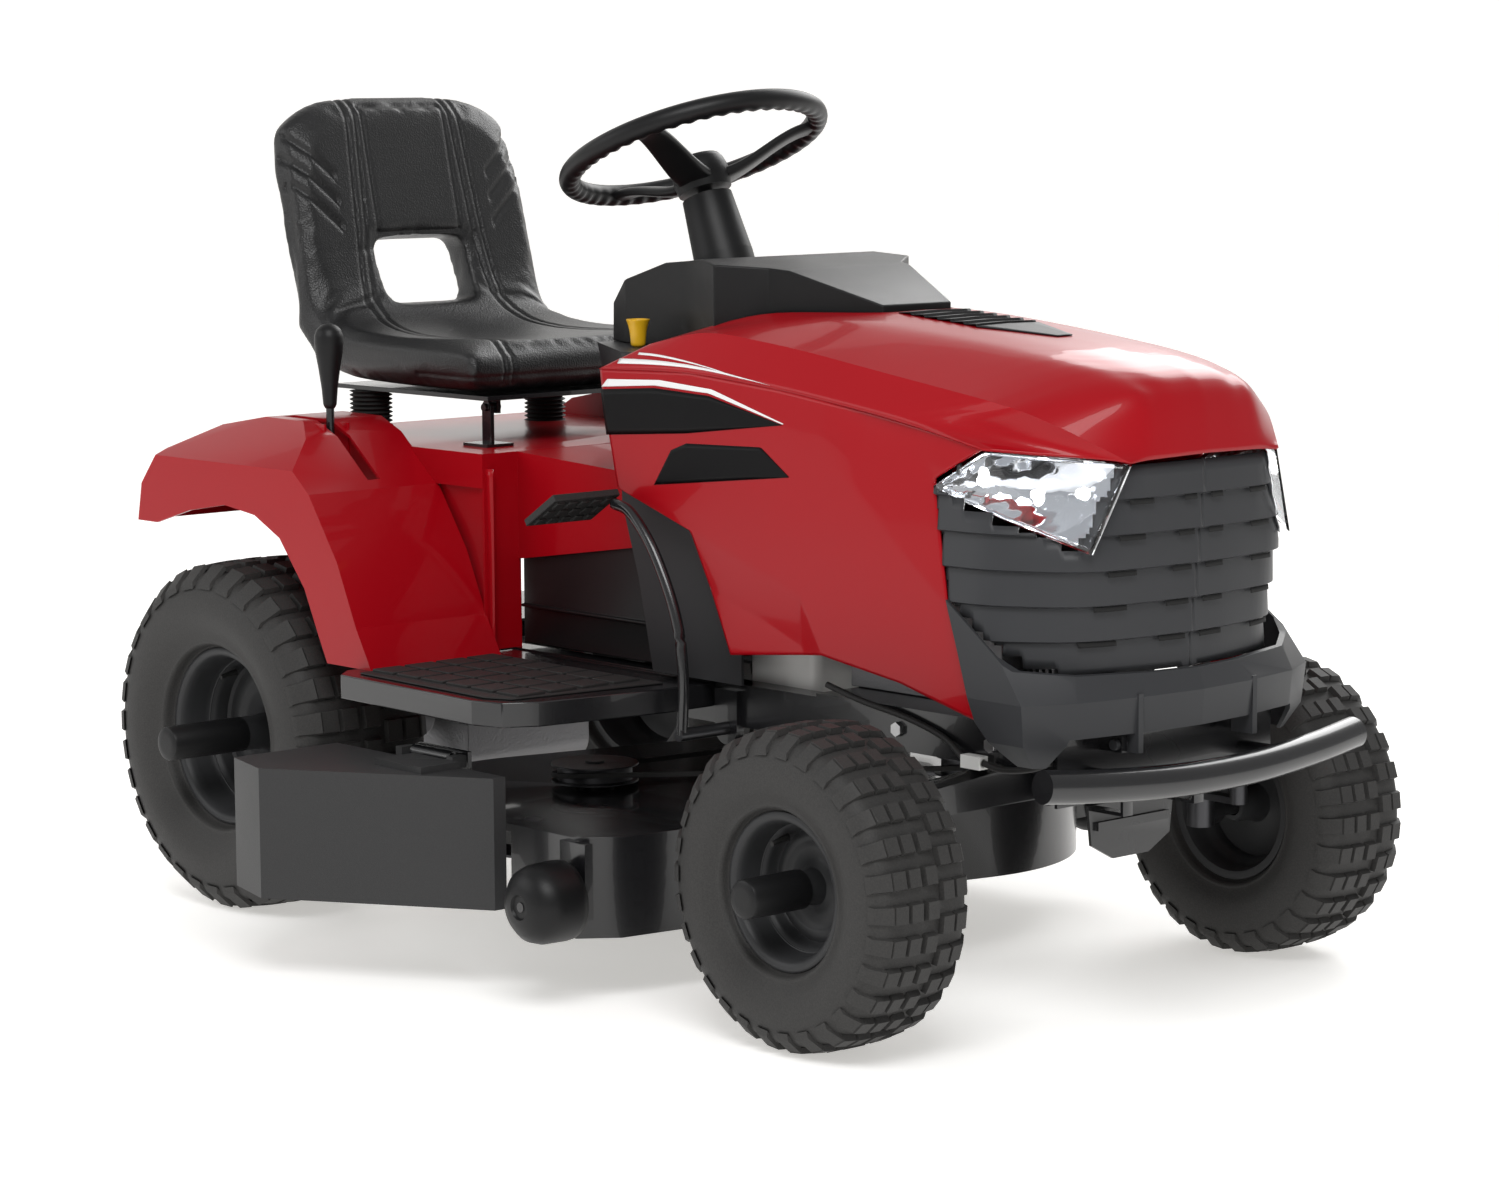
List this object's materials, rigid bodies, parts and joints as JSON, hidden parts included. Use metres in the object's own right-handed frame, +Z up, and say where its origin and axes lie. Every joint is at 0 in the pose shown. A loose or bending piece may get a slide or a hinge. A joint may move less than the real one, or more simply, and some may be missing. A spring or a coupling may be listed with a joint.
{
  "type": "riding lawn mower",
  "caption": "Riding lawn mower: padded seat, steered front wheels on a rocking axle, tilting bonnet, bladed cutter deck that lifts, side chute and turning wheels.",
  "frame": {"origin": "bottom centre of the bounding box, on the ground", "axes": "+X forward, +Y to the machine's left, +Z up"},
  "size_m": [1.591, 1.161, 1.064],
  "materials": {
    "black_paint": "semi-gloss",
    "rim_paint": "satin",
    "black_plastic": "textured",
    "grey_plastic": "textured",
    "vinyl": "grained",
    "tyre_rubber": "matt",
    "black_rubber": "matt",
    "clear_lens": "clear",
    "reflector": "mirror",
    "steel": "satin",
    "alloy": "cast",
    "white_plastic": "matt",
    "tank_plastic": "matt",
    "yellow_plastic": "gloss",
    "red_plastic": "gloss"
  },
  "bodies": {
    "chassis": {"frame_rails": "black_paint", "frame_bolts": "steel", "front_bumper": "black_paint", "pivot_pins": "steel", "transaxle": "alloy", "fender_body": "red_plastic", "tunnel_cover": "black_plastic", "footrests": "black_paint", "footrest_mats": "black_rubber", "dash_tower": "grey_plastic", "dash_cowl": "black_plastic", "column_boot": "black_plastic", "seat_bracket": "black_paint", "seat_bellows": "black_rubber", "engine_block": "alloy", "engine_shroud": "black_plastic", "fuel_tank": "tank_plastic", "harness_cable": "black_rubber", "harness_connector": "white_plastic"},
    "front_axle": {"axle_beam": "black_paint"},
    "knuckle_right": {"right_knuckle": "steel"},
    "knuckle_left": {"left_knuckle": "steel"},
    "link_right": {"right_drag_link": "steel"},
    "link_left": {"left_drag_link": "steel"},
    "steering": {"steering_wheel": "black_plastic", "steering_shaft": "steel"},
    "pinion": {"pinion_shaft": "steel"},
    "sector": {"steering_sector": "steel"},
    "wheel_front_right": {"front_right_tyre": "tyre_rubber", "front_right_rim": "rim_paint", "front_right_cap": "black_plastic"},
    "wheel_front_left": {"front_left_tyre": "tyre_rubber", "front_left_rim": "rim_paint", "front_left_cap": "black_plastic"},
    "wheel_rear_right": {"rear_right_tyre": "tyre_rubber", "rear_right_rim": "rim_paint", "rear_right_cap": "black_plastic"},
    "wheel_rear_left": {"rear_left_tyre": "tyre_rubber", "rear_left_rim": "rim_paint", "rear_left_cap": "black_plastic"},
    "hood": {"hood_shell": "red_plastic", "hood_vent": "black_plastic", "grille": "grey_plastic", "nose_skirt": "grey_plastic", "headlight_lenses": "clear_lens", "headlight_reflectors": "reflector"},
    "seat": {"seat_cushion": "vinyl", "seat_pan": "black_paint"},
    "gear_hand": {"gear_lever": "black_plastic"},
    "height_hand": {"height_lever": "black_plastic"},
    "foot_pedal": {"pedal": "black_paint"},
    "knob": {"blade_knob": "yellow_plastic"},
    "crank": {"crank_pulley": "steel"},
    "deck": {"deck_shell": "black_paint", "deck_belt": "black_rubber"},
    "cutter_right": {"right_blade": "steel"},
    "cutter_left": {"left_blade": "steel"},
    "chute": {"deflector": "grey_plastic"},
    "roller_right": {"right_roller": "black_plastic"},
    "roller_left": {"left_roller": "black_plastic"}
  },
  "joints": [
    {"name": "axle_rock", "type": "hinge", "parent": "chassis", "child": "front_axle", "pos_m": [0.5135, 0.0645, 0.264], "axis": [1, 0, 0], "range_deg": [-5, 5]},
    {"name": "knuckle_right_turn", "type": "hinge", "parent": "front_axle", "child": "knuckle_right", "pos_m": [0.5135, -0.2005, 0.25], "axis": [0, 0, 1], "range_deg": [-25, 25]},
    {"name": "knuckle_left_turn", "type": "hinge", "parent": "front_axle", "child": "knuckle_left", "pos_m": [0.5135, 0.3295, 0.25], "axis": [0, 0, 1], "range_deg": [-25, 25]},
    {"name": "link_right_turn", "type": "hinge", "parent": "knuckle_right", "child": "link_right", "pos_m": [0.5735, -0.2005, 0.218], "axis": [0, 0, 1], "range_deg": [-25, 25]},
    {"name": "link_left_turn", "type": "hinge", "parent": "knuckle_left", "child": "link_left", "pos_m": [0.5735, 0.3295, 0.234], "axis": [0, 0, 1], "range_deg": [-25, 25]},
    {"name": "front_right_spin", "type": "hinge", "parent": "knuckle_right", "child": "wheel_front_right", "pos_m": [0.5135, -0.308, 0.184], "axis": [0, 1, 0], "continuous": true},
    {"name": "front_left_spin", "type": "hinge", "parent": "knuckle_left", "child": "wheel_front_left", "pos_m": [0.5135, 0.437, 0.184], "axis": [0, 1, 0], "continuous": true},
    {"name": "rear_right_spin", "type": "hinge", "parent": "chassis", "child": "wheel_rear_right", "pos_m": [-0.5665, -0.2855, 0.228], "axis": [0, 1, 0], "continuous": true},
    {"name": "rear_left_spin", "type": "hinge", "parent": "chassis", "child": "wheel_rear_left", "pos_m": [-0.5665, 0.4145, 0.228], "axis": [0, 1, 0], "continuous": true},
    {"name": "steering_turn", "type": "hinge", "parent": "chassis", "child": "steering", "pos_m": [-0.1145, 0.0645, 0.987], "axis": [-0.3827, 0, 0.9239], "range_deg": [-125, 125]},
    {"name": "pinion_turn", "type": "hinge", "parent": "chassis", "child": "pinion", "pos_m": [0.1165, 0.0645, 0.3], "axis": [0, 0, 1], "range_deg": [-125, 125]},
    {"name": "sector_turn", "type": "hinge", "parent": "chassis", "child": "sector", "pos_m": [0.1885, 0.0645, 0.252], "axis": [0, 0, 1], "range_deg": [-25, 25]},
    {"name": "hood_tilt", "type": "hinge", "parent": "chassis", "child": "hood", "pos_m": [0.7215, 0.0645, 0.338], "axis": [0, 1, 0], "range_deg": [0, 60]},
    {"name": "seat_tilt", "type": "hinge", "parent": "chassis", "child": "seat", "pos_m": [-0.3515, 0.0645, 0.654], "axis": [0, 1, 0], "range_deg": [0, 50]},
    {"name": "gear_lever_move", "type": "hinge", "parent": "chassis", "child": "gear_hand", "pos_m": [-0.4665, -0.2535, 0.492], "axis": [0, 1, 0], "range_deg": [-26, 26]},
    {"name": "height_lever_move", "type": "hinge", "parent": "chassis", "child": "height_hand", "pos_m": [-0.4665, 0.3825, 0.492], "axis": [0, 1, 0], "range_deg": [0, 50]},
    {"name": "pedal_press", "type": "hinge", "parent": "chassis", "child": "foot_pedal", "pos_m": [0.1515, -0.1935, 0.297], "axis": [0, 1, 0], "range_deg": [0, 20], "stiffness_Nm_per_rad": 12, "springref_deg": -11.46},
    {"name": "blade_knob_pull", "type": "slide", "parent": "chassis", "child": "knob", "axis": [0, 0, 1], "range_m": [0, 0.018]},
    {"name": "crank_spin", "type": "hinge", "parent": "chassis", "child": "crank", "pos_m": [0.3935, 0.0645, 0.262], "axis": [0, 0, 1], "continuous": true},
    {"name": "deck_lift", "type": "slide", "parent": "chassis", "child": "deck", "axis": [0, 0, 1], "range_m": [-0.055, 0], "deforming": ["deck_belt"]},
    {"name": "blade_right_spin", "type": "hinge", "parent": "deck", "child": "cutter_right", "pos_m": [-0.0765, -0.1405, 0.1], "axis": [0, 0, 1], "continuous": true},
    {"name": "blade_left_spin", "type": "hinge", "parent": "deck", "child": "cutter_left", "pos_m": [0.0235, 0.2795, 0.1], "axis": [0, 0, 1], "continuous": true},
    {"name": "deflector_lift", "type": "hinge", "parent": "deck", "child": "chute", "pos_m": [-0.0765, -0.3915, 0.268], "axis": [-1, 0, 0], "range_deg": [0, 40], "stiffness_Nm_per_rad": 0.6, "springref_deg": -28.65},
    {"name": "roller_right_spin", "type": "hinge", "parent": "deck", "child": "roller_right", "pos_m": [0.1775, -0.4255, 0.13], "axis": [0, 1, 0], "continuous": true},
    {"name": "roller_left_spin", "type": "hinge", "parent": "deck", "child": "roller_left", "pos_m": [0.1335, 0.5445, 0.13], "axis": [0, 1, 0], "continuous": true}
  ],
  "couplings": [
    {"joint": "pinion_turn", "follows": "steering_turn", "ratio": 1},
    {"joint": "sector_turn", "follows": "steering_turn", "ratio": 0.2},
    {"joint": "knuckle_right_turn", "follows": "steering_turn", "ratio": 0.2},
    {"joint": "knuckle_left_turn", "follows": "steering_turn", "ratio": 0.2},
    {"joint": "link_right_turn", "follows": "steering_turn", "ratio": -0.2},
    {"joint": "link_left_turn", "follows": "steering_turn", "ratio": -0.2},
    {"joint": "height_lever_move", "follows": "deck_lift", "rad_per_m": -15.86},
    {"joint": "blade_right_spin", "follows": "crank_spin", "ratio": 0.93617},
    {"joint": "blade_left_spin", "follows": "crank_spin", "ratio": 0.93617}
  ]
}
